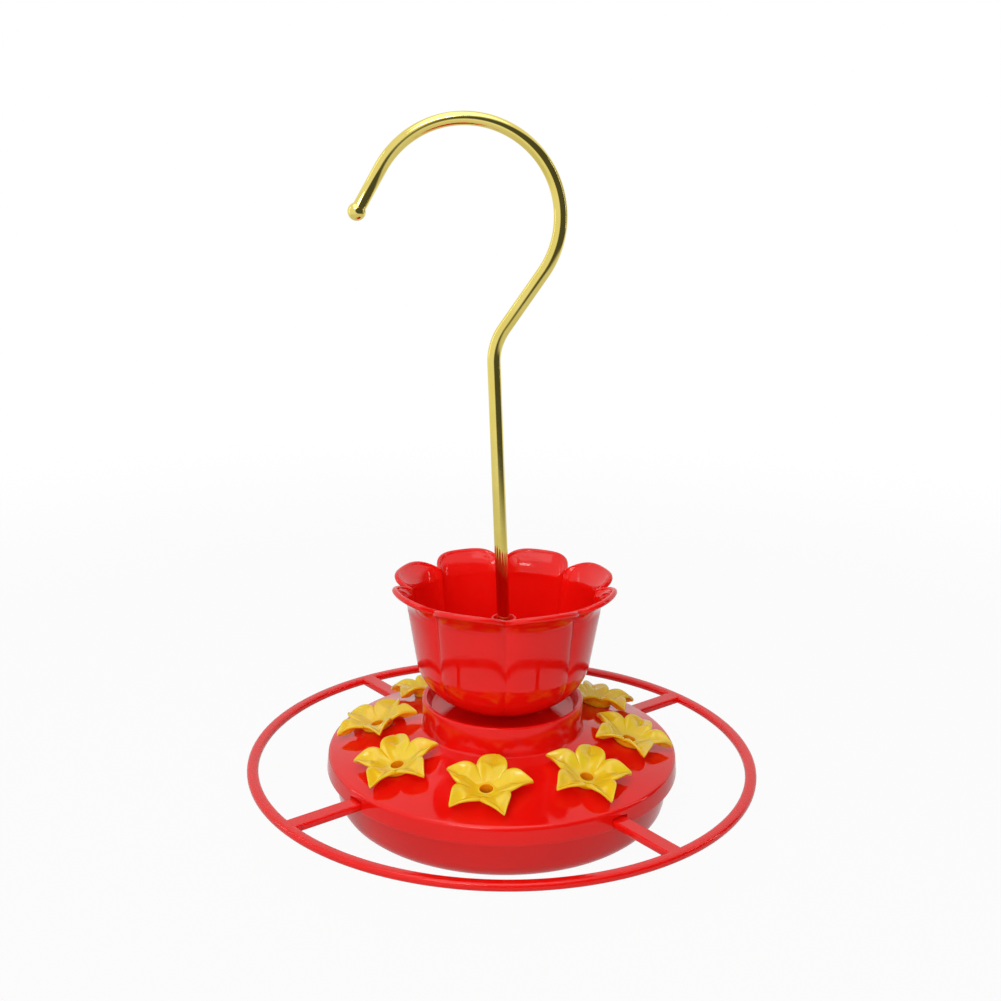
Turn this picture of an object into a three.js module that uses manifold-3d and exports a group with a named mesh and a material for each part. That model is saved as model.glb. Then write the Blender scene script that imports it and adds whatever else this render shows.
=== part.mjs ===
// Hanging hummingbird feeder: bowl, perch ring, lid with flower ports, ant moat and hook.
// Millimetres, +Z up, origin at the middle of the bowl's underside.
import * as THREE from 'three';
import { mergeVertices } from 'three/addons/utils/BufferGeometryUtils.js';
import Module from 'manifold-3d';

// Clearances between pieces
const FIT = 0.3;
const SKIRT_GAP = 1.1;
const NOTCH_GAP = 0.8;
const MOAT_BORE_GAP = 1.4;

// Small chamfer that breaks a moulded edge
const EDGE_BREAK = 0.4;

// Nectar bowl
const BOWL_HEIGHT = 22.25;
const BOWL_TAPER = 0.5;
const BOWL_CORNER = 7;
const BOWL_FLOOR = 2.2;
const BOWL_WALL = 2.6;
const BOWL_FILLET = 4.8;
const RIM_R = 64.5;
const RIM_WALL = 2;
const LEDGE_Z = 16.6;
const POST_R = 6.5;
const POST_DRAFT = 1.2;
const NUT_WELL_R = 9;
const NUT_WELL_DEPTH = 8;
const NUT_WELL_WALL = 2.4;

// Perch ring
const PERCH_R = 100;
const PERCH_WIDTH = 4.4;
const PERCH_HEIGHT = 3;
const PERCH_ROUND = 1.1;
const HOOP_THICKNESS = 1.4;
const SPOKE_COUNT = 4;
const SPOKE_WIDTH = 6.5;
const SPOKE_ROUND = 0.8;
const FIRST_SPOKE = Math.PI / 4;

// Lid
const LID_WALL = 1.8;
const LID_SLOPE = THREE.MathUtils.degToRad(13.9);
const LID_EDGE_ROUND = 1.3;
const SKIRT_FLARE = 0.7;
const SKIRT_DROP = 6.8;
const NOTCH_RISE = 1.2;
const COLLAR_R = 31.5;
const COLLAR_HEIGHT = 11.7;
const COLLAR_WALL = 1.6;
const COLLAR_FILLET = 1.2;
const RECESS_DEPTH = 4.3;
const RECESS_DRAFT = 2;

// Flower ports
const PORT_COUNT = 8;
const PORT_HOLE_R = 5.8;
const PORT_TURNS = [29, 62.6, 2, 53, 10, 33, 34, 19.7];
const PETAL_COUNT = 5;
const PETAL_TIP_R = 17.8;
const PETAL_VALLEY_R = 9.2;
const PETAL_POINT = 0.55;
const PETAL_SQUARENESS = 6;
const PETAL_THICKNESS = 1.1;
const PETAL_CUP = 0.9;
const CREST_R = 12;
const CREST_HEIGHT = 5.6;
const THROAT_HEIGHT = 1.1;
const THROAT_RIM = 0.7;
const PORT_BORE_R = 2.7;
const PORT_FLANGE = 1.3;
const PORT_SHANK = 5;

// Ant moat
const LOBE_COUNT = 8;
const LOBE_DEPTH = 1.7;
const LOBE_FADE = 0.6;
const LOBE_TURN = THREE.MathUtils.degToRad(7.8);
const CUP_R = 33.5;
const CUP_BASE_HEIGHT = 24.1;
const CUP_FULLNESS = 2.2;
const CUP_BASE_TURN = THREE.MathUtils.degToRad(83);
const CUP_WALL_HEIGHT = 17.8;
const CUP_DRAFT = 2.3;
const CUP_WALL = 1.6;
const CUP_FOOT_R = 8;
const LIP_RISE_TIP = 8.2;
const LIP_RISE_VALLEY = 5.1;
const LIP_FLARE_TIP = 5.8;
const LIP_FLARE_VALLEY = 1.1;
const TUBE_WALL = 1.1;
const TUBE_HEIGHT = 36.7;

// Hanger rod, washer and nut
const ROD_R = 2.5;
const ROD_FOOT_Z = 1;
const ROD_CHAMFER = 0.6;
const KINK_Z = 75;
const ROD_LEAN = THREE.MathUtils.degToRad(2.8);
const NECK_BEND_R = 21;
const NECK_LEAN = THREE.MathUtils.degToRad(34.1);
const CROWN_R = 34.5;
const CROWN_X = -16.1;
const CROWN_Z = 228.7;
const TIP_LEAN = THREE.MathUtils.degToRad(29.5);
const TIP_LENGTH = 17.6;
const TIP_BALL_R = 3.35;
const HOOK_TURN = THREE.MathUtils.degToRad(6.2);
const WASHER_R = 7.5;
const WASHER_THICKNESS = 1.2;
const NUT_ACROSS_FLATS = 10;
const NUT_HEIGHT = 4;

// Facets, and the shares of a curve's length at which it is drawn
const ROUND_SEGMENTS = 48;
const RING_SEGMENTS = 52;
const LOBE_SEGMENTS = 5;
const PETAL_SEGMENTS = 6;
const WIRE_SIDES = 8;
const HOLE_SIDES = 16;
const CORNER_STEPS = 3;
const RING_CORNER_STEPS = 1;
const PRISM_CORNER_STEPS = 2;
const CUP_BASE_STEPS = 5;
const NECK_STEPS = 5;
const CROWN_STEPS = 16;
const BALL_STEPS = 6;
const BALL_CAP = Math.PI / 18;
const PETAL_SHARES = [0, 0.45, 1];
const LIP_SHARES = [0, 0.4, 0.75, 1];
const WELD = 1e-4;

// Levels and radii that follow from the sizes above
const PERCH_Z = LEDGE_Z + FIT;
const PERCH_TOP_Z = PERCH_Z + PERCH_HEIGHT;
const HOOP_IN_R = RIM_R + FIT;
const LEDGE_R = HOOP_IN_R + HOOP_THICKNESS;
const BOWL_FOOT_R = RIM_R - BOWL_TAPER;
const FLOOR_R = BOWL_FOOT_R - BOWL_WALL - BOWL_FILLET - FIT;
const SKIRT_FOOT_R = LEDGE_R + SKIRT_GAP + LID_WALL;
const LID_R = SKIRT_FOOT_R - SKIRT_FLARE;
const PORT_R = (COLLAR_R + LID_R) / 2;
const LID_DROP = LID_WALL / Math.cos(LID_SLOPE);
const lidTopZ = (r) => BOWL_HEIGHT + FIT + LID_DROP + (RIM_R - r) * Math.tan(LID_SLOPE);
const COLLAR_TOP_Z = lidTopZ(COLLAR_R) + COLLAR_HEIGHT;
const RECESS_Z = COLLAR_TOP_Z - RECESS_DEPTH;
const POST_TOP_Z = RECESS_Z - LID_WALL - FIT;
const MOAT_Z = RECESS_Z + FIT;
const ROD_HOLE_R = ROD_R + FIT;
const MOAT_BORE_R = ROD_R + MOAT_BORE_GAP;

const PLASTIC_RED = new THREE.MeshStandardMaterial({ color: 0xd31616, roughness: 0.2, metalness: 0 });
const PLASTIC_YELLOW = new THREE.MeshStandardMaterial({ color: 0xf2d032, roughness: 0.3, metalness: 0 });
const WIRE_BRASS = new THREE.MeshStandardMaterial({ color: 0xd9b64a, roughness: 0.15, metalness: 1 });

const wasm = await Module();
wasm.setup();

function toSolid(geometry) {
  const bare = new THREE.BufferGeometry();
  bare.setAttribute('position', geometry.getAttribute('position'));
  bare.setIndex(geometry.getIndex());
  const merged = mergeVertices(bare, WELD);
  const vertProperties = new Float32Array(merged.getAttribute('position').array);
  const triVerts = new Uint32Array(merged.getIndex().array);
  return new wasm.Manifold(new wasm.Mesh({ numProp: 3, vertProperties, triVerts }));
}

function toGeometry(solid) {
  const mesh = solid.getMesh();
  const geometry = new THREE.BufferGeometry();
  geometry.setAttribute('position', new THREE.BufferAttribute(mesh.vertProperties, 3));
  geometry.setIndex(new THREE.BufferAttribute(mesh.triVerts, 1));
  return geometry;
}

function signedVolume(points, faces) {
  let volume = 0;
  for (let i = 0; i < faces.length; i += 3) {
    const [a, b, c] = [points[faces[i]], points[faces[i + 1]], points[faces[i + 2]]];
    volume += a.dot(new THREE.Vector3().crossVectors(b, c)) / 6;
  }
  return volume;
}

// Closed solid through rings of equal length: a looped list joins its last ring to its first,
// any other list gets a flat cap at each end.
function loft(rings, looped) {
  const count = rings[0].length;
  const points = rings.flat();
  const faces = [];
  const spans = looped ? rings.length : rings.length - 1;
  for (let i = 0; i < spans; i++) {
    const near = i * count;
    const far = ((i + 1) % rings.length) * count;
    for (let j = 0; j < count; j++) {
      const k = (j + 1) % count;
      faces.push(near + j, far + j, far + k, near + j, far + k, near + k);
    }
  }
  if (!looped) {
    const last = (rings.length - 1) * count;
    for (let j = 1; j < count - 1; j++) {
      faces.push(0, j, j + 1);
      faces.push(last, last + j + 1, last + j);
    }
  }
  if (signedVolume(points, faces) < 0) faces.reverse();
  const geometry = new THREE.BufferGeometry().setFromPoints(points);
  geometry.setIndex(faces);
  return geometry;
}

// Solid of a closed [radius, height] profile carried round the Z axis; the profile may change with the angle.
function spin(profileAt, segments, start = 0) {
  const rings = [];
  for (let i = 0; i < segments; i++) {
    const angle = start + (i / segments) * 2 * Math.PI;
    const place = ([r, z]) => new THREE.Vector3(r * Math.cos(angle), r * Math.sin(angle), z);
    rings.push(profileAt(angle).map(place));
  }
  return loft(rings, true);
}

function arc(x, y, radius, from, to, steps) {
  const points = [];
  for (let i = 0; i <= steps; i++) {
    const angle = from + ((to - from) * i) / steps;
    points.push([x + radius * Math.cos(angle), y + radius * Math.sin(angle)]);
  }
  return points;
}

// Open profile moved sideways by a wall's thickness, to the left of its direction.
function offset(profile, distance) {
  return profile.map((point, i) => {
    const before = profile[Math.max(i - 1, 0)];
    const after = profile[Math.min(i + 1, profile.length - 1)];
    const along = new THREE.Vector2(after[0] - before[0], after[1] - before[1]).normalize();
    return [point[0] - along.y * distance, point[1] + along.x * distance];
  });
}

function roundedBar(width, height, round) {
  const [x, y] = [width / 2 - round, height / 2 - round];
  const shape = new THREE.Shape();
  shape.absarc(x, y, round, 0, Math.PI / 2);
  shape.absarc(-x, y, round, Math.PI / 2, Math.PI);
  shape.absarc(-x, -y, round, Math.PI, 1.5 * Math.PI);
  shape.absarc(x, -y, round, 1.5 * Math.PI, 2 * Math.PI);
  return shape;
}

// Prism of a cross-section drawn sideways and upwards, pushed outwards along a spoke's direction.
function radialPrism(shape, azimuth, from, to, z) {
  const geometry = new THREE.ExtrudeGeometry(shape, {
    depth: to - from, bevelEnabled: false, curveSegments: PRISM_CORNER_STEPS });
  const merged = mergeVertices(geometry.deleteAttribute('normal').deleteAttribute('uv'), WELD);
  merged.rotateX(Math.PI / 2);
  merged.rotateZ(azimuth + Math.PI / 2);
  const shift = new THREE.Vector3(Math.cos(azimuth) * from, Math.sin(azimuth) * from, z);
  return merged.translate(shift.x, shift.y, shift.z);
}

// Rounded corner at the foot of a wall that leans outwards from a level floor, from the floor to the wall.
function footCorner(footR, floorZ, topR, topZ, radius) {
  const lean = Math.atan((topR - footR) / (topZ - floorZ));
  const middleR = footR + radius * Math.tan(lean) - radius / Math.cos(lean);
  return arc(middleR, floorZ + radius, radius, -Math.PI / 2, -lean, CORNER_STEPS);
}

// Wall of the bowl, from the edge of its floor up to the rim.
function bowlWall() {
  const innerFootR = BOWL_FOOT_R - BOWL_WALL;
  const innerRimR = RIM_R - RIM_WALL;
  const profile = [
    [FLOOR_R + FIT, 0],
    ...footCorner(BOWL_FOOT_R, 0, LEDGE_R, LEDGE_Z, BOWL_CORNER),
    [LEDGE_R, LEDGE_Z],
    [RIM_R, LEDGE_Z],
    [RIM_R, BOWL_HEIGHT],
    [innerRimR, BOWL_HEIGHT],
    ...footCorner(innerFootR, BOWL_FLOOR, innerRimR, BOWL_HEIGHT, BOWL_FILLET).reverse(),
    [FLOOR_R + FIT, BOWL_FLOOR],
  ];
  return spin(() => profile, ROUND_SEGMENTS);
}

// Floor of the bowl, with the post that carries the lid and the well for the nut in its foot.
function bowlFloor() {
  const wellR = NUT_WELL_R + NUT_WELL_WALL;
  const roofZ = NUT_WELL_DEPTH + NUT_WELL_WALL;
  const profile = [
    [NUT_WELL_R, 0],
    [FLOOR_R, 0],
    [FLOOR_R, BOWL_FLOOR],
    [wellR + POST_DRAFT, BOWL_FLOOR],
    [wellR, roofZ],
    [POST_R + POST_DRAFT, roofZ + POST_DRAFT],
    [POST_R, POST_TOP_Z],
    [ROD_HOLE_R, POST_TOP_Z],
    [ROD_HOLE_R, NUT_WELL_DEPTH],
    [NUT_WELL_R, NUT_WELL_DEPTH],
  ];
  return spin(() => profile, ROUND_SEGMENTS);
}

function perchRing() {
  const bar = roundedBar(PERCH_WIDTH, PERCH_HEIGHT, PERCH_ROUND).getPoints(RING_CORNER_STEPS);
  const midR = PERCH_R - PERCH_WIDTH / 2;
  const midZ = PERCH_Z + PERCH_HEIGHT / 2;
  const section = bar.slice(0, -1).map((p) => [midR + p.x, midZ + p.y]);
  const hoop = [
    [HOOP_IN_R, PERCH_Z],
    [LEDGE_R, PERCH_Z],
    [LEDGE_R, PERCH_TOP_Z],
    [HOOP_IN_R, PERCH_TOP_Z],
  ];
  let solid = toSolid(spin(() => section, RING_SEGMENTS));
  solid = solid.add(toSolid(spin(() => hoop, ROUND_SEGMENTS)));
  const spoke = roundedBar(SPOKE_WIDTH, PERCH_HEIGHT, SPOKE_ROUND);
  for (let i = 0; i < SPOKE_COUNT; i++) {
    const azimuth = FIRST_SPOKE + (i / SPOKE_COUNT) * 2 * Math.PI;
    solid = solid.add(toSolid(radialPrism(spoke, azimuth, HOOP_IN_R + HOOP_THICKNESS / 2, midR, midZ)));
  }
  return toGeometry(solid);
}

function lidShell() {
  const skirtZ = lidTopZ(LID_R) - SKIRT_DROP;
  const underZ = (r) => lidTopZ(r) - LID_DROP;
  const collarInR = COLLAR_R - COLLAR_WALL;
  const floorR = collarInR - RECESS_DRAFT;
  const skirtInR = LID_R - LID_WALL;
  const edgeR = LID_R - LID_EDGE_ROUND;
  const edgeZ = lidTopZ(edgeR + LID_EDGE_ROUND * Math.sin(LID_SLOPE)) - LID_EDGE_ROUND * Math.cos(LID_SLOPE);
  const profile = [
    [SKIRT_FOOT_R - LID_WALL, skirtZ],
    [SKIRT_FOOT_R, skirtZ],
    ...arc(edgeR, edgeZ, LID_EDGE_ROUND, 0, Math.PI / 2 - LID_SLOPE, CORNER_STEPS),
    [COLLAR_R + COLLAR_FILLET, lidTopZ(COLLAR_R + COLLAR_FILLET)],
    [COLLAR_R, lidTopZ(COLLAR_R) + COLLAR_FILLET],
    [COLLAR_R, COLLAR_TOP_Z - EDGE_BREAK],
    [COLLAR_R - EDGE_BREAK, COLLAR_TOP_Z],
    [collarInR, COLLAR_TOP_Z],
    [floorR, RECESS_Z],
    [ROD_HOLE_R, RECESS_Z],
    [ROD_HOLE_R, RECESS_Z - LID_WALL],
    [floorR - LID_WALL / 2, RECESS_Z - LID_WALL],
    [collarInR, underZ(collarInR)],
    [skirtInR - LID_WALL, underZ(skirtInR - LID_WALL)],
    [skirtInR, underZ(skirtInR) - LID_WALL],
  ];
  return spin(() => profile, ROUND_SEGMENTS);
}

// Arched opening in the skirt that lets one spoke through.
function notchCutter(azimuth) {
  const half = SPOKE_WIDTH / 2 + NOTCH_GAP;
  const shape = new THREE.Shape();
  shape.moveTo(-half, -SKIRT_DROP);
  shape.lineTo(half, -SKIRT_DROP);
  shape.lineTo(half, NOTCH_GAP);
  shape.absellipse(0, NOTCH_GAP, half, NOTCH_RISE, 0, Math.PI);
  return radialPrism(shape, azimuth, RIM_R, SKIRT_FOOT_R + LID_WALL, PERCH_TOP_Z);
}

function portAzimuth(index) {
  return -Math.PI / 2 + (index / PORT_COUNT) * 2 * Math.PI;
}

function portHoleCutter(index) {
  const depth = 4 * LID_DROP;
  const geometry = new THREE.CylinderGeometry(PORT_HOLE_R, PORT_HOLE_R, depth, HOLE_SIDES);
  const merged = mergeVertices(geometry.deleteAttribute('normal').deleteAttribute('uv'), WELD);
  merged.rotateX(Math.PI / 2);
  merged.rotateY(LID_SLOPE);
  merged.translate(PORT_R, 0, lidTopZ(PORT_R));
  return merged.rotateZ(portAzimuth(index));
}

function lid() {
  let solid = toSolid(lidShell());
  for (let i = 0; i < SPOKE_COUNT; i++) {
    const azimuth = FIRST_SPOKE + (i / SPOKE_COUNT) * 2 * Math.PI;
    solid = solid.subtract(toSolid(notchCutter(azimuth)));
  }
  for (let i = 0; i < PORT_COUNT; i++) {
    solid = solid.subtract(toSolid(portHoleCutter(i)));
  }
  return toGeometry(solid);
}

// Flower drawn upright on the lid's surface: a funnel that opens into pointed petals.
function flowerPort() {
  const throatR = PORT_BORE_R + THROAT_RIM;
  const shankR = PORT_HOLE_R - FIT;
  const flangeR = PORT_HOLE_R + PORT_FLANGE;
  const petalAngle = Math.PI / PETAL_COUNT;
  const funnel = (r) => {
    const run = (r - CREST_R) / (CREST_R - throatR);
    return CREST_HEIGHT - (CREST_HEIGHT - THROAT_HEIGHT) * run * run;
  };
  const profileAt = (angle) => {
    const turn = angle / (2 * petalAngle);
    const side = Math.abs(turn - Math.round(turn)) * 2;
    const reach = PETAL_POINT * (1 - side) ** 2 + (1 - PETAL_POINT) * Math.sqrt(1 - side ** PETAL_SQUARENESS);
    const edgeR = THREE.MathUtils.lerp(PETAL_VALLEY_R, PETAL_TIP_R, reach);
    const upper = PETAL_SHARES.map((share) => {
      const r = throatR + (edgeR - throatR) * share;
      return [r, funnel(r) + PETAL_CUP * side * share];
    });
    const edge = upper.at(-1);
    const neckR = (flangeR + throatR) / 2;
    return [
      [PORT_BORE_R, -PORT_SHANK],
      [PORT_BORE_R, THROAT_HEIGHT],
      ...upper,
      [edge[0], edge[1] - PETAL_THICKNESS],
      [neckR, funnel(neckR) - PETAL_THICKNESS],
      [flangeR, FIT],
      [shankR, FIT],
      [shankR, -PORT_SHANK],
    ];
  };
  return spin(profileAt, PETAL_COUNT * PETAL_SEGMENTS);
}

// Height of a lobe across its width: 0 in the crease, then soon 1 across the lobe's broad middle.
function lobe(angle) {
  const wave = Math.abs(Math.sin(((angle - LOBE_TURN + Math.PI / 2) * LOBE_COUNT) / 2));
  return 1 - (1 - wave) ** 2;
}

// Outside of the fluted cup at one angle, from the foot up to the lip's edge.
function cupOutside(angle) {
  const swell = lobe(angle);
  const wallZ = MOAT_Z + CUP_BASE_HEIGHT;
  const lipZ = wallZ + CUP_WALL_HEIGHT;
  const lipR = CUP_R + CUP_DRAFT + LOBE_DEPTH * swell;
  const footTurn = Math.asin((CUP_FOOT_R / CUP_R) ** (CUP_FULLNESS / 2));
  const base = arc(0, 0, 1, footTurn, CUP_BASE_TURN, CUP_BASE_STEPS).map(([cos, sin]) => {
    const across = sin ** (2 / CUP_FULLNESS);
    const below = cos ** (2 / CUP_FULLNESS);
    const fade = THREE.MathUtils.smoothstep(across, CUP_FOOT_R / CUP_R, 1) * (1 - LOBE_FADE);
    return [CUP_R * across + LOBE_DEPTH * swell * fade, wallZ - CUP_BASE_HEIGHT * below];
  });
  const flare = THREE.MathUtils.lerp(LIP_FLARE_VALLEY, LIP_FLARE_TIP, swell);
  const rise = THREE.MathUtils.lerp(LIP_RISE_VALLEY, LIP_RISE_TIP, swell);
  const lip = LIP_SHARES.map((share) => [lipR + flare * share * share, lipZ + rise * share]);
  return [[CUP_FOOT_R, MOAT_Z], ...base, ...lip];
}

function antMoat() {
  const tubeR = MOAT_BORE_R + TUBE_WALL;
  const tubeTopZ = MOAT_Z + TUBE_HEIGHT;
  const profileAt = (angle) => {
    const outside = cupOutside(angle);
    const inside = offset(outside.slice(1), CUP_WALL).reverse();
    const floorZ = MOAT_Z + CUP_WALL + FIT;
    return [
      ...outside,
      ...inside,
      [tubeR, floorZ],
      [tubeR, tubeTopZ],
      [MOAT_BORE_R, tubeTopZ],
      [MOAT_BORE_R, MOAT_Z],
    ];
  };
  return spin(profileAt, LOBE_COUNT * LOBE_SEGMENTS, LOBE_TURN - Math.PI / 2);
}

// Middle line of the wire in the hook's own plane, as [x, z, direction from upright, radius].
function wireStations() {
  const stations = [
    [0, ROD_FOOT_Z, 0, ROD_R - ROD_CHAMFER],
    [0, ROD_FOOT_Z + ROD_CHAMFER, 0, ROD_R],
    [0, KINK_Z, -ROD_LEAN / 2, ROD_R],
  ];
  const neckLineX = (z) => {
    const tangentX = CROWN_X + CROWN_R * Math.cos(NECK_LEAN);
    const tangentZ = CROWN_Z - CROWN_R * Math.sin(NECK_LEAN);
    return tangentX + (z - tangentZ) * Math.tan(NECK_LEAN);
  };
  const slopes = Math.tan(NECK_LEAN) + Math.tan(ROD_LEAN);
  const cornerZ = (KINK_Z * Math.tan(ROD_LEAN) - neckLineX(0)) / slopes;
  const cornerX = neckLineX(cornerZ);
  const setback = NECK_BEND_R * Math.tan((NECK_LEAN + ROD_LEAN) / 2);
  const bendX = cornerX + setback * Math.sin(ROD_LEAN) + NECK_BEND_R * Math.cos(ROD_LEAN);
  const bendZ = cornerZ - setback * Math.cos(ROD_LEAN) + NECK_BEND_R * Math.sin(ROD_LEAN);
  for (const [x, z] of arc(bendX, bendZ, NECK_BEND_R, Math.PI + ROD_LEAN, Math.PI - NECK_LEAN, NECK_STEPS)) {
    stations.push([x, z, Math.atan2(z - bendZ, bendX - x), ROD_R]);
  }
  for (const [x, z] of arc(CROWN_X, CROWN_Z, CROWN_R, -NECK_LEAN, Math.PI - TIP_LEAN, CROWN_STEPS)) {
    stations.push([x, z, -Math.atan2(z - CROWN_Z, x - CROWN_X), ROD_R]);
  }
  return stations.concat(ballStations(stations.at(-1)));
}

// Straight end of the wire and the ball on it.
function ballStations([x, z, turn]) {
  const neckAngle = Math.asin(ROD_R / TIP_BALL_R);
  return arc(0, 0, TIP_BALL_R, Math.PI - neckAngle, BALL_CAP, BALL_STEPS).map(([along, radius]) => {
    const run = TIP_LENGTH + along;
    return [x + run * Math.sin(turn), z + run * Math.cos(turn), turn, radius];
  });
}

function hangerRod() {
  const rings = wireStations().map(([x, z, turn, radius]) => {
    const ring = [];
    for (let i = 0; i < WIRE_SIDES; i++) {
      const angle = (i / WIRE_SIDES) * 2 * Math.PI;
      const across = radius * Math.cos(angle);
      const depth = radius * Math.sin(angle);
      ring.push(new THREE.Vector3(x + across * Math.cos(turn), depth, z - across * Math.sin(turn)));
    }
    return ring;
  });
  return loft(rings, false);
}

function rodWasher() {
  const top = NUT_WELL_DEPTH - FIT;
  const bottom = top - WASHER_THICKNESS;
  const profile = [[ROD_HOLE_R, bottom], [WASHER_R, bottom], [WASHER_R, top], [ROD_HOLE_R, top]];
  return spin(() => profile, ROUND_SEGMENTS / 2);
}

function rodNut() {
  const top = NUT_WELL_DEPTH - WASHER_THICKNESS - 2 * FIT;
  const bottom = top - NUT_HEIGHT;
  const profileAt = (angle) => {
    const fromFlat = ((angle + Math.PI / 6) % (Math.PI / 3)) - Math.PI / 6;
    const outer = NUT_ACROSS_FLATS / 2 / Math.cos(fromFlat);
    return [[ROD_HOLE_R, bottom], [outer, bottom], [outer, top], [ROD_HOLE_R, top]];
  };
  return spin(profileAt, ROUND_SEGMENTS / 4);
}

function named(name, geometry, material) {
  const mesh = new THREE.Mesh(geometry, material);
  mesh.name = name;
  return mesh;
}

function seatedFlower(index, geometry) {
  const flower = named(`flower_port_${index + 1}`, geometry, PLASTIC_YELLOW);
  flower.rotation.z = THREE.MathUtils.degToRad(PORT_TURNS[index % PORT_TURNS.length]);
  const seat = new THREE.Group();
  seat.position.set(PORT_R, 0, lidTopZ(PORT_R));
  seat.rotation.y = LID_SLOPE;
  seat.add(flower);
  const spoke = new THREE.Group();
  spoke.rotation.z = portAzimuth(index);
  spoke.add(seat);
  return spoke;
}

const feeder = new THREE.Group();
feeder.add(named('nectar_bowl', bowlWall(), PLASTIC_RED));
feeder.add(named('bowl_floor', bowlFloor(), PLASTIC_RED));
feeder.add(named('perch_ring', perchRing(), PLASTIC_RED));
feeder.add(named('lid', lid(), PLASTIC_RED));
const flowerGeometry = flowerPort();
for (let i = 0; i < PORT_COUNT; i++) feeder.add(seatedFlower(i, flowerGeometry));
feeder.add(named('ant_moat', antMoat(), PLASTIC_RED));

const hanger = new THREE.Group();
hanger.rotation.z = HOOK_TURN;
hanger.add(named('hanger_rod', hangerRod(), WIRE_BRASS));
hanger.add(named('rod_washer', rodWasher(), WIRE_BRASS));
hanger.add(named('rod_nut', rodNut(), WIRE_BRASS));
feeder.add(hanger);

export default feeder;
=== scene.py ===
# Hanging hummingbird feeder in glossy red plastic with yellow flower ports and a polished brass hook.
import math

import bmesh
import bpy
from mathutils import Matrix, Vector

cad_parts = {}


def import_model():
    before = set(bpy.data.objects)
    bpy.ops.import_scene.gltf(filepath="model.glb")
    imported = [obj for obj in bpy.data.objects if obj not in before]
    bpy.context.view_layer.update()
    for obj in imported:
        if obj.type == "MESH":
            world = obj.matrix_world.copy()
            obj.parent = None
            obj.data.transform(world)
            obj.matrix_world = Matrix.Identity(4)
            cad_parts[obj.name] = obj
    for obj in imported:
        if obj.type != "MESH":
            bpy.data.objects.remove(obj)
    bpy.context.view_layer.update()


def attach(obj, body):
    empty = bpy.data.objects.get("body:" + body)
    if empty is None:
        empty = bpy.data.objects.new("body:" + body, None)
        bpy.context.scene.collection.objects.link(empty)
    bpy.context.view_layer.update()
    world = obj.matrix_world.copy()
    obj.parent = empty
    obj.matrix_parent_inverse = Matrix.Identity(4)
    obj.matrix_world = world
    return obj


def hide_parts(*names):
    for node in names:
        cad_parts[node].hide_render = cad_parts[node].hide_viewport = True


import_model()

MM = 0.001

# Clearances and the finest rounding, in millimetres, as are all sizes of the feeder
FINE_EDGE = 0.2
FIT = 0.3
SKIRT_GAP = 1.1
NOTCH_GAP = 0.4
MOAT_BORE_GAP = 1.4

# Nectar bowl
BOWL_HEIGHT = 22.25
BOWL_TAPER = 0.5
BOWL_CORNER = 7
BOWL_FLOOR = 2.2
BOWL_WALL = 2.6
BOWL_FILLET = 4.8
RIM_R = 64.5
RIM_WALL = 2
LEDGE_Z = 16.6
POST_R = 6.5
POST_DRAFT = 1.2
NUT_WELL_R = 9
NUT_WELL_DEPTH = 8
NUT_WELL_WALL = 2.4
WELL_EDGE = 1.2
BOWL_EDGE = 0.5
RIM_EDGE = 0.7
POST_EDGE = 0.6
POST_FILLET = 1.5

# Perch ring
PERCH_R = 100
PERCH_WIDTH = 4.4
PERCH_HEIGHT = 3
PERCH_ROUND = 1.2
HOOP_THICKNESS = 1.4
HOOP_EDGE = 0.3
SPOKE_COUNT = 4
SPOKE_WIDTH = 6.5
SPOKE_ROUND = 0.9
FIRST_SPOKE = math.pi / 4

# Lid
LID_WALL = 1.8
LID_SLOPE = math.radians(13.9)
LID_EDGE_ROUND = 1.7
SKIRT_FLARE = 0.7
SKIRT_DROP = 6.8
SKIRT_EDGE = 0.4
SKIRT_IN_EDGE = 0.3
SKIRT_FILLET = 0.6
SKIRT_LEAST = 0.2
NOTCH_RISE = 0.4
NOTCH_SIDE = math.radians(0.03)
COLLAR_R = 31.5
COLLAR_HEIGHT = 11.7
COLLAR_WALL = 1.6
COLLAR_FILLET = 1.2
COLLAR_EDGE = 0.6
RECESS_DEPTH = 4.3
RECESS_DRAFT = 2
RECESS_FILLET = 1.2
UNDER_FILLET = 1

# Flower ports, with the turn of each about its own axis in degrees
PORT_COUNT = 8
FIRST_PORT = -math.pi / 2
PORT_HOLE_R = 5.8
PORT_TURNS = [29, 62.6, 2, 53, 10, 33, 34, 19.7]
PETAL_COUNT = 5
PETAL_TIP_R = 17.8
PETAL_VALLEY_R = 9.5
PETAL_POINT = 0.45
PETAL_SHARPNESS = 5
PETAL_THICKNESS = 1.1
PETAL_RIM_BULGE = 0.6
RIDGE_R = 9.5
RIDGE_HEIGHT = 3.6
TIP_HEIGHT = 3.2
PETAL_CURL = 1.8
VALLEY_RISE = 0.9
PETAL_CURL_WIDTH = 3.8
PETAL_BEAD = 0.12
PETAL_BEAD_WIDTH = 1.2
PETAL_HOLLOW = 0.5
HOLLOW_ONSET = 3
PETAL_FOLD = 0.4
PETAL_FOLD_WIDTH = 1.7
PETAL_FOLD_START = 0.4
TIP_ROUND = 0.05
THROAT_HEIGHT = 1.1
THROAT_RIM = 0.7
THROAT_RIM_END = 0.2
THROAT_FADE = 3
PORT_BORE_R = 2.4
PORT_FLANGE = 0.4
FLANGE_EDGE = 0.3
FLANGE_BLEND = 0.8
PORT_SHANK = 5
SHANK_CHAMFER = 0.4

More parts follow.
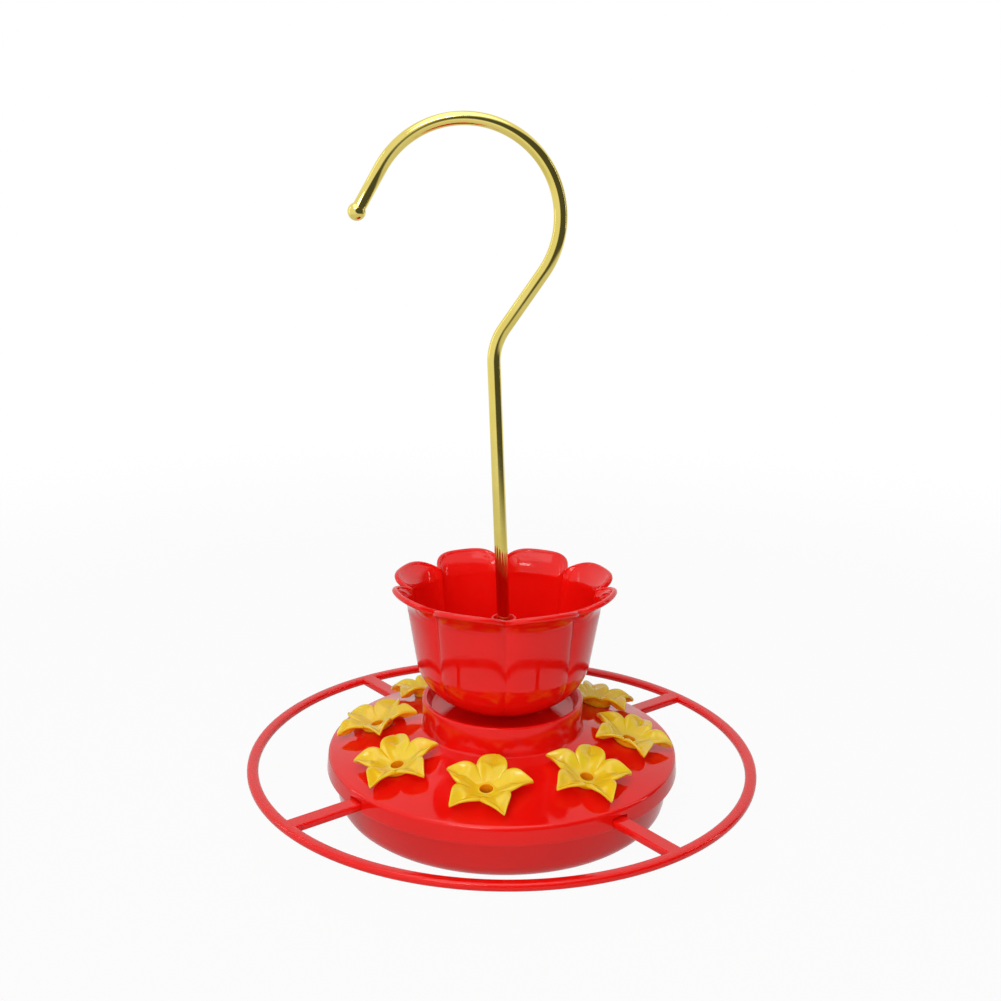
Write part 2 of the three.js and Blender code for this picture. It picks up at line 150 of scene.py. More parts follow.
# Ant moat, where the tube's fillet is steps outward and upward from the corner
LOBE_COUNT = 8
LOBE_DEPTH = 1.7
LOBE_FADE = 0.6
LOBE_FLATNESS = 3.5
LIP_FLATNESS = 2
LOBE_TURN = math.radians(7.8)
CREASE_ROUND = 0.03
CUP_R = 33.5
CUP_BASE_HEIGHT = 24.1
CUP_FULLNESS = 2.2
CUP_BASE_TURN = math.radians(83)
CUP_WALL_HEIGHT = 17.8
CUP_DRAFT = 2.3
CUP_WALL = 1.6
CUP_FOOT_R = 8
CUP_FOOT_EDGE_WIDTH = 0.4
CUP_FOOT_EDGE_HEIGHT = 0.3
LIP_RISE_TIP = 8.2
LIP_RISE_VALLEY = 5.1
LIP_FLARE_TIP = 5.8
LIP_FLARE_VALLEY = 1.1
LIP_BEAD = 1.4
LIP_BEAD_WRAP = 0.6
TUBE_WALL = 1.1
TUBE_HEIGHT = 36.7
TUBE_FILLET = [(1.2, 0), (0.3, 0.4), (0, 1.4)]
TUBE_EDGE = 0.3

# Hanger rod, washer and nut
ROD_R = 2.5
ROD_FOOT_Z = 1
ROD_CHAMFER = 0.6
THREAD_TOP_Z = 8
THREAD_PITCH = 0.8
THREAD_DEPTH = 0.3
KINK_Z = 75
KINK_LENGTH = 8
ROD_LEAN = math.radians(2.8)
NECK_BEND_R = 21
NECK_LEAN = math.radians(34.1)
CROWN_R = 34.5
CROWN_X = -16.1
CROWN_Z = 228.7
TIP_LEAN = math.radians(29.5)
TIP_LENGTH = 17.6
TIP_BALL_R = 3.35
TIP_BALL_END = 0.05
HOOK_TURN = math.radians(6.2)
WASHER_R = 7.5
WASHER_THICKNESS = 1.2
WASHER_EDGE = 0.1
WASHER_ROUND = 0.3
NUT_SIDES = 6
NUT_ACROSS_FLATS = 10
NUT_HEIGHT = 4
NUT_CHAMFER = math.radians(30)
NUT_LEAST_CHAMFER = 0.05
NUT_HOLE_CHAMFER = 0.3

# Angles in degrees past which an edge shows as sharp
SHARP_EDGE = 35
FLOWER_SHARP_EDGE = 50
CUP_SHARP_EDGE = 60
WIRE_SHARP_EDGE = 50
NUT_SHARP_EDGE = 25

# Share of a side that one rounded corner may take
CORNER_SHARE = 0.48

# Steps along and round the pieces, the petal rim in radians, and how steps crowd at rims and creases
CORNER_STEPS = 5
BAR_STEPS = 4
SMALL_STEPS = 3
BOWL_TURNS = 192
RING_TURNS = 240
LID_TURNS = 360
NOTCH_STEPS = 16
HOLE_TURNS = 64
PETAL_TURNS = 36
PETAL_STEPS = 40
PETAL_CROWDING = 1.5
PETAL_RIM_TURNS = (0.9, 0.3, -0.3, -0.9)
RIM_SLOPE_STEP = 0.02
UNDERSIDE_STEPS = 12
THROAT_STEPS = 6
LOBE_TURNS = 40
LOBE_CROWDING = 0.92
CUP_BASE_STEPS = 24
CUP_WALL_STEPS = 7
LIP_STEPS = 14
BEAD_STEPS = 10
WIRE_SIDES = 64
KINK_STEPS = 8
NECK_STEPS = 24
CROWN_STEPS = 90
BALL_STEPS = 24
NUT_TURNS = 72
FLOOR_TURNS = 96

# Red plastic, yellow plastic and brass: tints, gloss, how deep light goes in millimetres, and its share
RED_TINTS = ((0.89, 0.006, 0.003, 1), (0.93, 0.007, 0.004, 1))
RED_IOR = 1.39
RED_ROUGHNESS = 0.05
RED_GLOW_DEPTH = (1.5, 0.15, 0.15)
YELLOW_TINTS = ((0.94, 0.64, 0.017, 1), (0.96, 0.68, 0.026, 1))
# Painted shade and glow: deeper orange laid on the inside of each flower's bore
YELLOW_BORE_SHADE = (0.95, 0.36, 0.004, 1)
YELLOW_IOR = 1.45
YELLOW_ROUGHNESS = 0.11
YELLOW_GLOW_DEPTH = (2.5, 1.2, 0.2)
GLOW = 0.6
BRASS_TINTS = ((0.74, 0.6, 0.14, 1), (0.81, 0.67, 0.19, 1))
BRASS_ROUGHNESS = (0.06, 0.12)

# Noise in the materials: the band that is used, scales per metre with their detail, wave depth in metres
NOISE_LOW = 0.35
NOISE_HIGH = 0.65
FLOW_SCALE = 55
FLOW_DETAIL = 2
SKIN_SCALE = 240
SKIN_DETAIL = 3
SKIN_SPREAD = 0.05
WAVE_STRENGTH = 0.02
WAVE_DEPTH = 0.0004
DRAW_SCALE = 900
DRAW_DETAIL = 4
TONE_SCALE = 60
TONE_DETAIL = 2

# Camera, as a place and lens in millimetres, turns in degrees, and the nearest view in metres
CAMERA_DISTANCE = 507.9
CAMERA_HEIGHT = 262
CAMERA_AZIMUTH = 6.2
CAMERA_PITCH = 15.23
CAMERA_YAW = -0.21
CAMERA_ROLL = 0.76
CAMERA_LENS = 50
CAMERA_NEAR = 0.01

# Floor in metres, where it fades as shares of its radius, and how white the camera and gloss see it
FLOOR_R = 0.7
FLOOR_DROP = 0.0001
FLOOR_FADE_START = 0.45
FLOOR_FADE_END = 0.98
FLOOR_GREY = 0.5
FLOOR_ROUGHNESS = 0.8
FLOOR_WHITE = 0.95
FLOOR_MIRRORED = 0.65

# Light levels, the point in metres that lamps aim at, and the dim room in gloss, its direction in degrees
WHITE = (1, 1, 1, 1)
AMBIENT = 0.25
LAMP_AIM = (0, 0, 0.08)
ROOM_AZIMUTH = 62
ROOM_ELEVATION = 10
ROOM_SIZE = (1.25, 0.95, 0.7)
ROOM_EDGE_START = 0.85
ROOM_EDGE_END = 1.05
ROOM_LEVEL = 0.09

# Levels, radii and turns that follow from the sizes above
PERCH_Z = LEDGE_Z + FIT
PERCH_TOP_Z = PERCH_Z + PERCH_HEIGHT
PERCH_MID_Z = PERCH_Z + PERCH_HEIGHT / 2
PERCH_MID_R = PERCH_R - PERCH_WIDTH / 2
HOOP_IN_R = RIM_R + FIT
LEDGE_R = HOOP_IN_R + HOOP_THICKNESS
BOWL_FOOT_R = RIM_R - BOWL_TAPER
SKIRT_FOOT_R = LEDGE_R + SKIRT_GAP + LID_WALL
NOTCH_HALF_TURN = math.asin((SPOKE_WIDTH / 2 + NOTCH_GAP) / SKIRT_FOOT_R)
LID_R = SKIRT_FOOT_R - SKIRT_FLARE
PORT_R = (COLLAR_R + LID_R) / 2
THROAT_R = PORT_BORE_R + THROAT_RIM
LID_DROP = LID_WALL / math.cos(LID_SLOPE)
ROD_HOLE_R = ROD_R + FIT
MOAT_BORE_R = ROD_R + MOAT_BORE_GAP


def lid_top_z(r):
    return BOWL_HEIGHT + FIT + LID_DROP + (RIM_R - r) * math.tan(LID_SLOPE)


def lid_under_z(r):
    return lid_top_z(r) - LID_DROP


LID_EDGE_Z = lid_top_z(LID_R)
SKIRT_FOOT_Z = LID_EDGE_Z - SKIRT_DROP
COLLAR_TOP_Z = lid_top_z(COLLAR_R) + COLLAR_HEIGHT
RECESS_Z = COLLAR_TOP_Z - RECESS_DEPTH
POST_TOP_Z = RECESS_Z - LID_WALL - FIT
MOAT_Z = RECESS_Z + FIT


# Mesh helpers

def lerp(a, b, t):
    return a + (b - a) * t


def smoothstep(t):
    t = min(max(t, 0), 1)
    return t * t * (3 - 2 * t)


def arc(x, y, radius, start, end, steps):
    turns = [lerp(start, end, i / steps) for i in range(steps + 1)]
    return [(x + radius * math.cos(t), y + radius * math.sin(t)) for t in turns]


def rounded_loop(corners, steps=CORNER_STEPS):
    """Closed outline from (x, y, radius) corners, each rounded by an arc that touches both its sides."""
    points = []
    count = len(corners)
    for i, (x, y, radius) in enumerate(corners):
        here = Vector((x, y))
        before = Vector(corners[i - 1][:2]) - here
        after = Vector(corners[(i + 1) % count][:2]) - here
        half = before.angle(after) / 2
        reach = min(radius / math.tan(half), before.length * CORNER_SHARE, after.length * CORNER_SHARE)
        bisector = before.normalized() + after.normalized()
        middle = here + bisector.normalized() * (reach / math.cos(half))
        start = here + before.normalized() * reach - middle
        end = here + after.normalized() * reach - middle
        sweep = start.angle_signed(end)
        for k in range(steps + 1):
            points.append(tuple(middle + Matrix.Rotation(-sweep * k / steps, 2) @ start))
    return points


def loft(rings, looped):
    """Vertices and faces through rings of equal length, closed by a loop or by end caps."""
    count = len(rings[0])
    verts = [p for ring in rings for p in ring]
    faces = []
    spans = len(rings) if looped else len(rings) - 1
    for i in range(spans):
        near = i * count
        far = (i + 1) % len(rings) * count
        for j in range(count):
            k = (j + 1) % count
            faces.append((near + j, far + j, far + k, near + k))
    if not looped:
        faces.append(tuple(range(count)))
        faces.append(tuple(reversed(range(len(verts) - count, len(verts)))))
    return verts, faces


def spin(profile_at, turns):
    """Solid of a closed (radius, height) profile carried round the Z axis."""
    rings = []
    for turn in turns:
        ring = [(r * math.cos(turn), r * math.sin(turn), z) for r, z in profile_at(turn)]
        rings.append(ring)
    return loft(rings, True)


def even_turns(count, start=0):
    return [start + i / count * math.tau for i in range(count)]


def circle(radius, z, count):
    return [(radius * math.cos(t), radius * math.sin(t), z) for t in even_turns(count)]


def new_object(name, solid, crease=SHARP_EDGE):
    """Smooth object from a solid in millimetres, sharp only where faces meet at more than the crease."""
    verts, faces = solid
    mesh = bpy.data.meshes.new(name)
    mesh.from_pydata([Vector(v) * MM for v in verts], [], faces)
    shell = bmesh.new()
    shell.from_mesh(mesh)
    bmesh.ops.recalc_face_normals(shell, faces=shell.faces)
    shell.to_mesh(mesh)
    shell.free()
    obj = bpy.data.objects.new(name, mesh)
    bpy.context.scene.collection.objects.link(obj)
    smooth(obj, crease)
    return obj


def smooth(obj, crease):
    obj.data.shade_smooth()
    obj.data.set_sharp_from_angle(angle=math.radians(crease))


def combine(obj, other, operation):
    """Joins another object to this one, or cuts it away, and keeps the result as the mesh."""
    change = obj.modifiers.new(operation.lower(), "BOOLEAN")
    change.operation = operation
    change.object = other
    change.solver = "EXACT"
    evaluated = obj.evaluated_get(bpy.context.evaluated_depsgraph_get())
    result = bpy.data.meshes.new_from_object(evaluated)
    obj.modifiers.clear()
    obj.data = result
    bpy.data.objects.remove(other)
    smooth(obj, SHARP_EDGE)


def dress(obj, material, body, slot, *nodes):
    """Gives a piece its material, hangs it on the empty of the body it rides on, and hides the solids it
    stands for.
    """
    obj.data.materials.clear()
    obj.data.materials.append(material)
    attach(obj, body)
    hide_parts(*nodes)


# Pieces

def bowl():
    inner_foot = BOWL_FOOT_R - BOWL_WALL
    inner_rim = RIM_R - RIM_WALL
    well = NUT_WELL_R + NUT_WELL_WALL
    roof = NUT_WELL_DEPTH + NUT_WELL_WALL
    profile = rounded_loop([
        (NUT_WELL_R, 0, BOWL_EDGE),
        (BOWL_FOOT_R, 0, BOWL_CORNER),
        (LEDGE_R, LEDGE_Z, BOWL_EDGE),
        (RIM_R, LEDGE_Z, FINE_EDGE),
        (RIM_R, BOWL_HEIGHT, RIM_EDGE),
        (inner_rim, BOWL_HEIGHT, RIM_EDGE),
        (inner_foot, BOWL_FLOOR, BOWL_FILLET),
        (well + POST_DRAFT, BOWL_FLOOR, POST_FILLET),
        (well, roof, WELL_EDGE),
        (POST_R + POST_DRAFT, roof + POST_DRAFT, POST_FILLET),
        (POST_R, POST_TOP_Z, POST_EDGE),
        (ROD_HOLE_R, POST_TOP_Z, FINE_EDGE),
        (ROD_HOLE_R, NUT_WELL_DEPTH, FINE_EDGE),
        (NUT_WELL_R, NUT_WELL_DEPTH, BOWL_EDGE),
    ])
    return new_object("bowl", spin(lambda turn: profile, even_turns(BOWL_TURNS)))


def rounded_bar(width, height, rounding):
    x = width / 2
    y = height / 2
    corners = [(x, -y), (x, y), (-x, y), (-x, -y)]
    return rounded_loop([(*corner, rounding) for corner in corners], BAR_STEPS)


def spoke(azimuth):
    """Flat bar from the hoop to the ring."""
    outward = Vector((math.cos(azimuth), math.sin(azimuth), 0))
    sideways = Vector((-math.sin(azimuth), math.cos(azimuth), 0))
    middle = Vector((0, 0, PERCH_MID_Z))
    bar = rounded_bar(SPOKE_WIDTH, PERCH_HEIGHT, SPOKE_ROUND)
    rings = []
    for r in (HOOP_IN_R + HOOP_THICKNESS / 2, PERCH_MID_R):
        rings.append([middle + outward * r + sideways * x + Vector((0, 0, z)) for x, z in bar])
    return new_object("spoke", loft(rings, False))


def perch():
    section = rounded_bar(PERCH_WIDTH, PERCH_HEIGHT, PERCH_ROUND)
    bar = [(PERCH_MID_R + x, PERCH_MID_Z + z) for x, z in section]
    hoop = rounded_loop([
        (HOOP_IN_R, PERCH_Z, HOOP_EDGE),
        (LEDGE_R, PERCH_Z, HOOP_EDGE),
        (LEDGE_R, PERCH_TOP_Z, HOOP_EDGE),
        (HOOP_IN_R, PERCH_TOP_Z, HOOP_EDGE),
    ], SMALL_STEPS)
    obj = new_object("perch", spin(lambda turn: bar, even_turns(RING_TURNS)))
    combine(obj, new_object("hoop", spin(lambda turn: hoop, even_turns(BOWL_TURNS))), "UNION")
    for azimuth in even_turns(SPOKE_COUNT, FIRST_SPOKE):
        combine(obj, spoke(azimuth), "UNION")
    return obj


def turn_from_spoke(turn):
    """How far a turn is from the nearest spoke."""
    step = math.tau / SPOKE_COUNT
    return abs((turn - FIRST_SPOKE + step / 2) % step - step / 2)


def skirt_foot_z(turn):
    """Lower edge of the skirt: level, with an arch over each spoke."""
    across = turn_from_spoke(turn) / NOTCH_HALF_TURN
    if across > 1:
        return SKIRT_FOOT_Z
    return PERCH_TOP_Z + NOTCH_GAP + NOTCH_RISE * math.sqrt(1 - across * across)


def lid_turns():
    """Even turns round the lid, with close ones across each notch and at its two upright sides."""
    half = NOTCH_HALF_TURN
    turns = [t for t in even_turns(LID_TURNS) if turn_from_spoke(t) > half + NOTCH_SIDE]
    for azimuth in even_turns(SPOKE_COUNT, FIRST_SPOKE):
        turns += [azimuth - half - NOTCH_SIDE, azimuth + half + NOTCH_SIDE]
        turns += [azimuth + lerp(-half, half, i / NOTCH_STEPS) for i in range(NOTCH_STEPS + 1)]
    return sorted(t % math.tau for t in turns)


def lid_profile(turn):
    foot = skirt_foot_z(turn)
    rise = (foot - SKIRT_FOOT_Z) / (LID_EDGE_Z - SKIRT_FOOT_Z)
    foot_r = lerp(SKIRT_FOOT_R, LID_R, rise)
    skirt_in = LID_R - LID_WALL
    collar_in = COLLAR_R - COLLAR_WALL
    floor_r = collar_in - RECESS_DRAFT
    return rounded_loop([
        (foot_r - LID_WALL, foot, SKIRT_IN_EDGE),
        (foot_r, foot, SKIRT_EDGE),
        (LID_R, LID_EDGE_Z, LID_EDGE_ROUND),
        (COLLAR_R, lid_top_z(COLLAR_R), COLLAR_FILLET),
        (COLLAR_R, COLLAR_TOP_Z, COLLAR_EDGE),
        (collar_in, COLLAR_TOP_Z, COLLAR_EDGE),
        (floor_r, RECESS_Z, RECESS_FILLET),
        (ROD_HOLE_R, RECESS_Z, FINE_EDGE),
        (ROD_HOLE_R, RECESS_Z - LID_WALL, FINE_EDGE),
        (floor_r - LID_WALL / 2, RECESS_Z - LID_WALL, UNDER_FILLET),
        (collar_in, lid_under_z(collar_in), UNDER_FILLET),
        (skirt_in - LID_WALL, lid_under_z(skirt_in - LID_WALL), SKIRT_FILLET),
        (skirt_in, max(lid_under_z(skirt_in) - LID_WALL, foot + SKIRT_LEAST), SKIRT_FILLET),
    ])


def port_frame(index):
    """Place and tilt of one flower port on the lid's slope."""
    azimuth = even_turns(PORT_COUNT, FIRST_PORT)[index]
    seat = Matrix.Translation(Vector((PORT_R, 0, lid_top_z(PORT_R))) * MM)
    return Matrix.Rotation(azimuth, 4, "Z") @ seat @ Matrix.Rotation(LID_SLOPE, 4, "Y")


def port_hole(index):
    """Round plug that cuts one port's hole through the lid."""
    depth = 2 * LID_DROP
    rings = [circle(PORT_HOLE_R, z, HOLE_TURNS) for z in (-depth, depth)]
    obj = new_object("port_hole", loft(rings, False))
    obj.matrix_world = port_frame(index)
    return obj


def lid():
    obj = new_object("lid_shell", spin(lid_profile, lid_turns()))
    for i in range(PORT_COUNT):
        combine(obj, port_hole(i), "DIFFERENCE")
    return obj


def petal_side(turn):
    """0 on a petal's middle line, 1 in the valley between two petals."""
    share = turn / math.tau * PETAL_COUNT
    return abs(share - round(share)) * 2


def petal_edge_r(side):
    """Radius of the petals' outline: a broad round petal with a drawn-out tip."""
    blunt = math.sqrt(side * side + TIP_ROUND ** 2)
    point = (1 - min(blunt, 1)) ** PETAL_SHARPNESS
    reach = PETAL_POINT * point + (1 - PETAL_POINT) * (1 - side ** 2)
    return lerp(PETAL_VALLEY_R, PETAL_TIP_R, reach)


def rim_distance(r, side):
    """Way from a point to the petal's edge, square to that edge, but to the corner near a valley."""
    edge = petal_edge_r(side)
    before = petal_edge_r(max(side - RIM_SLOPE_STEP, 0))
    after = petal_edge_r(min(side + RIM_SLOPE_STEP, 1))
    slope = (after - before) / (2 * RIM_SLOPE_STEP) * PETAL_COUNT / math.pi / edge * (1 - side ** 2)
    return (edge - r) / math.sqrt(1 + slope * slope)


def petal_height(r, turn):
    """Upper surface: a funnel up to a ridge, then drooping petals, hollow between raised edges."""
    side = petal_side(turn)
    climb = min((r - THROAT_R) / (RIDGE_R - THROAT_R), 1)
    ridge = RIDGE_HEIGHT + VALLEY_RISE * side
    funnel = lerp(THROAT_HEIGHT, ridge, lerp(smoothstep(climb), climb, side))
    beyond = max(r - RIDGE_R, 0) / (PETAL_TIP_R - RIDGE_R)
    droop = (RIDGE_HEIGHT - TIP_HEIGHT) * beyond ** 2
    rim = rim_distance(r, side)
    curl = PETAL_CURL * 4 * side * (1 - side) * math.exp(-(rim / PETAL_CURL_WIDTH) ** 2)
    bead = PETAL_BEAD * math.exp(-(rim / PETAL_BEAD_WIDTH) ** 2)
    across = r * math.sin(side * math.pi / PETAL_COUNT)
    inside = smoothstep(rim / PETAL_CURL_WIDTH)
    hollow = PETAL_HOLLOW * smoothstep(HOLLOW_ONSET * beyond) * inside
    crease = math.exp(-(across / PETAL_FOLD_WIDTH) ** 2)
    fold = PETAL_FOLD * smoothstep(r / RIDGE_R - PETAL_FOLD_START) * inside * crease
    return funnel - droop + curl + bead - hollow - fold


def flower_profile(turn):
    """Closed profile of a port at one turn: throat, petal, rim, underside and the shank below."""
    side = petal_side(turn)
    shank_r = PORT_HOLE_R - FIT
    flange_r = PORT_HOLE_R + PORT_FLANGE
    edge = petal_edge_r(side)
    upper = []
    for i in range(PETAL_STEPS + 1):
        r = lerp(edge, THROAT_R, (1 - i / PETAL_STEPS) ** PETAL_CROWDING)
        upper.append((r, petal_height(r, turn)))
    half = PETAL_THICKNESS / 2
    edge_z = upper[-1][1] - half
    rim = []
    for t in PETAL_RIM_TURNS:
        rim.append((edge + half * math.cos(t) * PETAL_RIM_BULGE, edge_z + half * math.sin(t)))
    lower = []
    for i in range(UNDERSIDE_STEPS + 1):
        r = lerp(edge, flange_r + FLANGE_BLEND, i / UNDERSIDE_STEPS)
        lower.append((r, petal_height(r, turn) - PETAL_THICKNESS))
    lip_r = THROAT_R - THROAT_RIM / 2
    throat = arc(lip_r, THROAT_HEIGHT, THROAT_RIM / 2, math.pi, THROAT_RIM_END, THROAT_STEPS)
    foot = [
        (flange_r, FIT + FLANGE_EDGE),
        (flange_r, FIT),
        (shank_r, FIT),
        (shank_r, -PORT_SHANK + SHANK_CHAMFER),
        (shank_r - SHANK_CHAMFER, -PORT_SHANK),
        (PORT_BORE_R, -PORT_SHANK),
    ]
    return throat + upper[1:] + rim + lower + foot


def mark_bore_shade(obj):
    """Marks the inside of the bore, where a deeper orange is painted as the shade and glow in the hole.
    """
    throat = obj.data.attributes.new("throat", "FLOAT", "POINT")
    for vertex, mark in zip(obj.data.vertices, throat.data):
        from_axis = vertex.co.xy.length / MM
        mark.value = 1 - smoothstep((from_axis - PORT_BORE_R) / THROAT_RIM * THROAT_FADE)


def flower(index):
    solid = spin(flower_profile, even_turns(PETAL_COUNT * PETAL_TURNS))
    obj = new_object(f"flower_{index + 1}", solid, FLOWER_SHARP_EDGE)
    mark_bore_shade(obj)
    turn = Matrix.Rotation(math.radians(PORT_TURNS[index]), 4, "Z")
    obj.data.transform(port_frame(index) @ turn)
    return obj


def lobe(turn, flatness):
    """Height of a lobe across its width: 0 in the crease, then soon 1 across the lobe's broad middle."""
    wave = math.sin((turn - LOBE_TURN + math.pi / 2) * LOBE_COUNT / 2)
    soft = math.sqrt(wave * wave + CREASE_ROUND ** 2) - CREASE_ROUND
    share = soft / (math.sqrt(1 + CREASE_ROUND ** 2) - CREASE_ROUND)
    return 1 - (1 - share) ** flatness


def cup_outside(turn):
    """Outside of the fluted cup at one turn, from its foot up to the lip's edge."""
    swell = lobe(turn, LOBE_FLATNESS)
    spread = lobe(turn, LIP_FLATNESS)
    wall_z = MOAT_Z + CUP_BASE_HEIGHT
    lip_z = wall_z + CUP_WALL_HEIGHT
    lip_r = CUP_R + CUP_DRAFT + LOBE_DEPTH * swell
    points = []
    foot_share = CUP_FOOT_R / CUP_R
    foot_turn = math.asin(foot_share ** (CUP_FULLNESS / 2))
    for cos, sin in arc(0, 0, 1, foot_turn, CUP_BASE_TURN, CUP_BASE_STEPS):
        across = sin ** (2 / CUP_FULLNESS)
        below = cos ** (2 / CUP_FULLNESS)
        fade = smoothstep((across - foot_share) / (1 - foot_share)) * (1 - LOBE_FADE)
        points.append((CUP_R * across + LOBE_DEPTH * swell * fade, wall_z - CUP_BASE_HEIGHT * below))
    flare = lerp(LIP_FLARE_VALLEY, LIP_FLARE_TIP, spread)
    rise = lerp(LIP_RISE_VALLEY, LIP_RISE_TIP, spread)
    base_r, base_z = points[-1]
    for i in range(1, CUP_WALL_STEPS):
        share = i / CUP_WALL_STEPS
        points.append((lerp(base_r, lip_r, share), lerp(base_z, lip_z, share)))
    for i in range(LIP_STEPS + 1):
        share = i / LIP_STEPS
        points.append((lip_r + flare * share * share, lip_z + rise * share))
    return points


def offset(profile, distance):
    """Open profile moved sideways, to the left of its direction."""
    moved = []
    for i, (r, z) in enumerate(profile):
        before = Vector(profile[max(i - 1, 0)])
        after = Vector(profile[min(i + 1, len(profile) - 1)])
        along = (after - before).normalized()
        moved.append((r - along.y * distance, z + along.x * distance))
    return moved


def lip_bead(outer, inner):
    """Bead along the lip, a little thicker than the wall that carries it."""
    outer = Vector(outer)
    inner = Vector(inner)
    middle = (outer + inner) / 2
    half = (outer - middle) * LIP_BEAD
    ahead = Vector((-half.y, half.x))
    bead = arc(0, 0, 1, -LIP_BEAD_WRAP, math.pi + LIP_BEAD_WRAP, BEAD_STEPS)
    return [tuple(middle + half * cos + ahead * sin) for cos, sin in bead]


def moat_profile(turn):
    """Closed profile of the cup at one turn, with the tube in its middle."""
    outside = cup_outside(turn)
    inside = offset(outside, CUP_WALL)
    tube_r = MOAT_BORE_R + TUBE_WALL
    tube_top = MOAT_Z + TUBE_HEIGHT
    floor = MOAT_Z + CUP_WALL + FIT
    fillet = [(tube_r + outward, floor + upward) for outward, upward in TUBE_FILLET]
    tube = [
        (tube_r, tube_top - TUBE_EDGE),
        (tube_r - TUBE_EDGE, tube_top),
        (MOAT_BORE_R + FINE_EDGE, tube_top),
        (MOAT_BORE_R, tube_top - FINE_EDGE),
        (MOAT_BORE_R, MOAT_Z),
        (CUP_FOOT_R - CUP_FOOT_EDGE_WIDTH, MOAT_Z),
        (CUP_FOOT_R, MOAT_Z + CUP_FOOT_EDGE_HEIGHT),
    ]
    return outside[:-1] + lip_bead(outside[-1], inside[-1]) + inside[-2::-1] + fillet + tube


def cup_turns():
    """Turns round the cup that lie closest together at the creases."""
    turns = []
    for turn in even_turns(LOBE_COUNT * LOBE_TURNS):
        in_lobe = turn * LOBE_COUNT
        crowded = (in_lobe - LOBE_CROWDING * math.sin(in_lobe)) / LOBE_COUNT
        turns.append(LOBE_TURN - math.pi / 2 + crowded)
    return turns


def moat():
    return new_object("moat_cup", spin(moat_profile, cup_turns()), CUP_SHARP_EDGE)


def thread_stations():
    """Foot of the rod, with a chamfer and the grooves of its thread."""
    stations = [(0, ROD_FOOT_Z, 0, ROD_R - ROD_CHAMFER)]
    z = ROD_FOOT_Z + ROD_CHAMFER
    while z < THREAD_TOP_Z:
        stations.append((0, z, 0, ROD_R))
        stations.append((0, z + THREAD_PITCH / 2, 0, ROD_R - THREAD_DEPTH))
        z += THREAD_PITCH
    return stations + [(0, z, 0, ROD_R)]


def kink_stations():
    """Slight bend inside the cup, above which the rod leans."""
    stations = []
    for i in range(KINK_STEPS + 1):
        share = i / KINK_STEPS
        bend = KINK_LENGTH * math.tan(ROD_LEAN) * share ** 2 / 2
        stations.append((-bend, KINK_Z + KINK_LENGTH * (share - 1 / 2), -ROD_LEAN * share, ROD_R))
    return stations


def neck_stations():
    """Bend that touches both the leaning rod and the straight line into the crown."""
    tangent_x = CROWN_X + CROWN_R * math.cos(NECK_LEAN)
    tangent_z = CROWN_Z - CROWN_R * math.sin(NECK_LEAN)
    foot_x = tangent_x - tangent_z * math.tan(NECK_LEAN)
    corner_z = (KINK_Z * math.tan(ROD_LEAN) - foot_x) / (math.tan(NECK_LEAN) + math.tan(ROD_LEAN))
    corner_x = foot_x + corner_z * math.tan(NECK_LEAN)
    setback = NECK_BEND_R * math.tan((NECK_LEAN + ROD_LEAN) / 2)
    bend_x = corner_x + setback * math.sin(ROD_LEAN) + NECK_BEND_R * math.cos(ROD_LEAN)
    bend_z = corner_z - setback * math.cos(ROD_LEAN) + NECK_BEND_R * math.sin(ROD_LEAN)
    bend = arc(bend_x, bend_z, NECK_BEND_R, math.pi + ROD_LEAN, math.pi - NECK_LEAN, NECK_STEPS)
    return [(x, z, math.atan2(z - bend_z, bend_x - x), ROD_R) for x, z in bend]


def crown_stations():
    """Round crown of the hook."""
    crown = arc(CROWN_X, CROWN_Z, CROWN_R, -NECK_LEAN, math.pi - TIP_LEAN, CROWN_STEPS)
    return [(x, z, -math.atan2(z - CROWN_Z, x - CROWN_X), ROD_R) for x, z in crown]


def ball_stations(last):
    """Ball at the end of the straight wire that goes on from the last station."""
    x, z, turn, wire_r = last
    neck = math.asin(wire_r / TIP_BALL_R)
    stations = []
    for along, radius in arc(0, 0, TIP_BALL_R, math.pi - neck, TIP_BALL_END, BALL_STEPS):
        run = TIP_LENGTH + along
        stations.append((x + run * math.sin(turn), z + run * math.cos(turn), turn, radius))
    return stations


def wire_stations():
    """Middle line of the wire in the hook's plane, as (x, z, direction from upright, radius)."""
    stations = thread_stations() + kink_stations() + neck_stations() + crown_stations()
    return stations + ball_stations(stations[-1])


def hook():
    rings = []
    for x, z, turn, radius in wire_stations():
        ring = []
        for angle in even_turns(WIRE_SIDES):
            across = radius * math.cos(angle)
            y = radius * math.sin(angle)
            ring.append((x + across * math.cos(turn), y, z - across * math.sin(turn)))
        rings.append(ring)
    obj = new_object("hook_wire", loft(rings, False), WIRE_SHARP_EDGE)
    obj.data.transform(Matrix.Rotation(HOOK_TURN, 4, "Z"))
    return obj


def washer():
    top = NUT_WELL_DEPTH - FIT
    bottom = top - WASHER_THICKNESS
    profile = rounded_loop([
        (ROD_HOLE_R, bottom, WASHER_EDGE),
        (WASHER_R, bottom, WASHER_ROUND),
        (WASHER_R, top, WASHER_EDGE),
        (ROD_HOLE_R, top, WASHER_EDGE),
    ], SMALL_STEPS)
    return new_object("washer", spin(lambda turn: profile, even_turns(NUT_TURNS)))


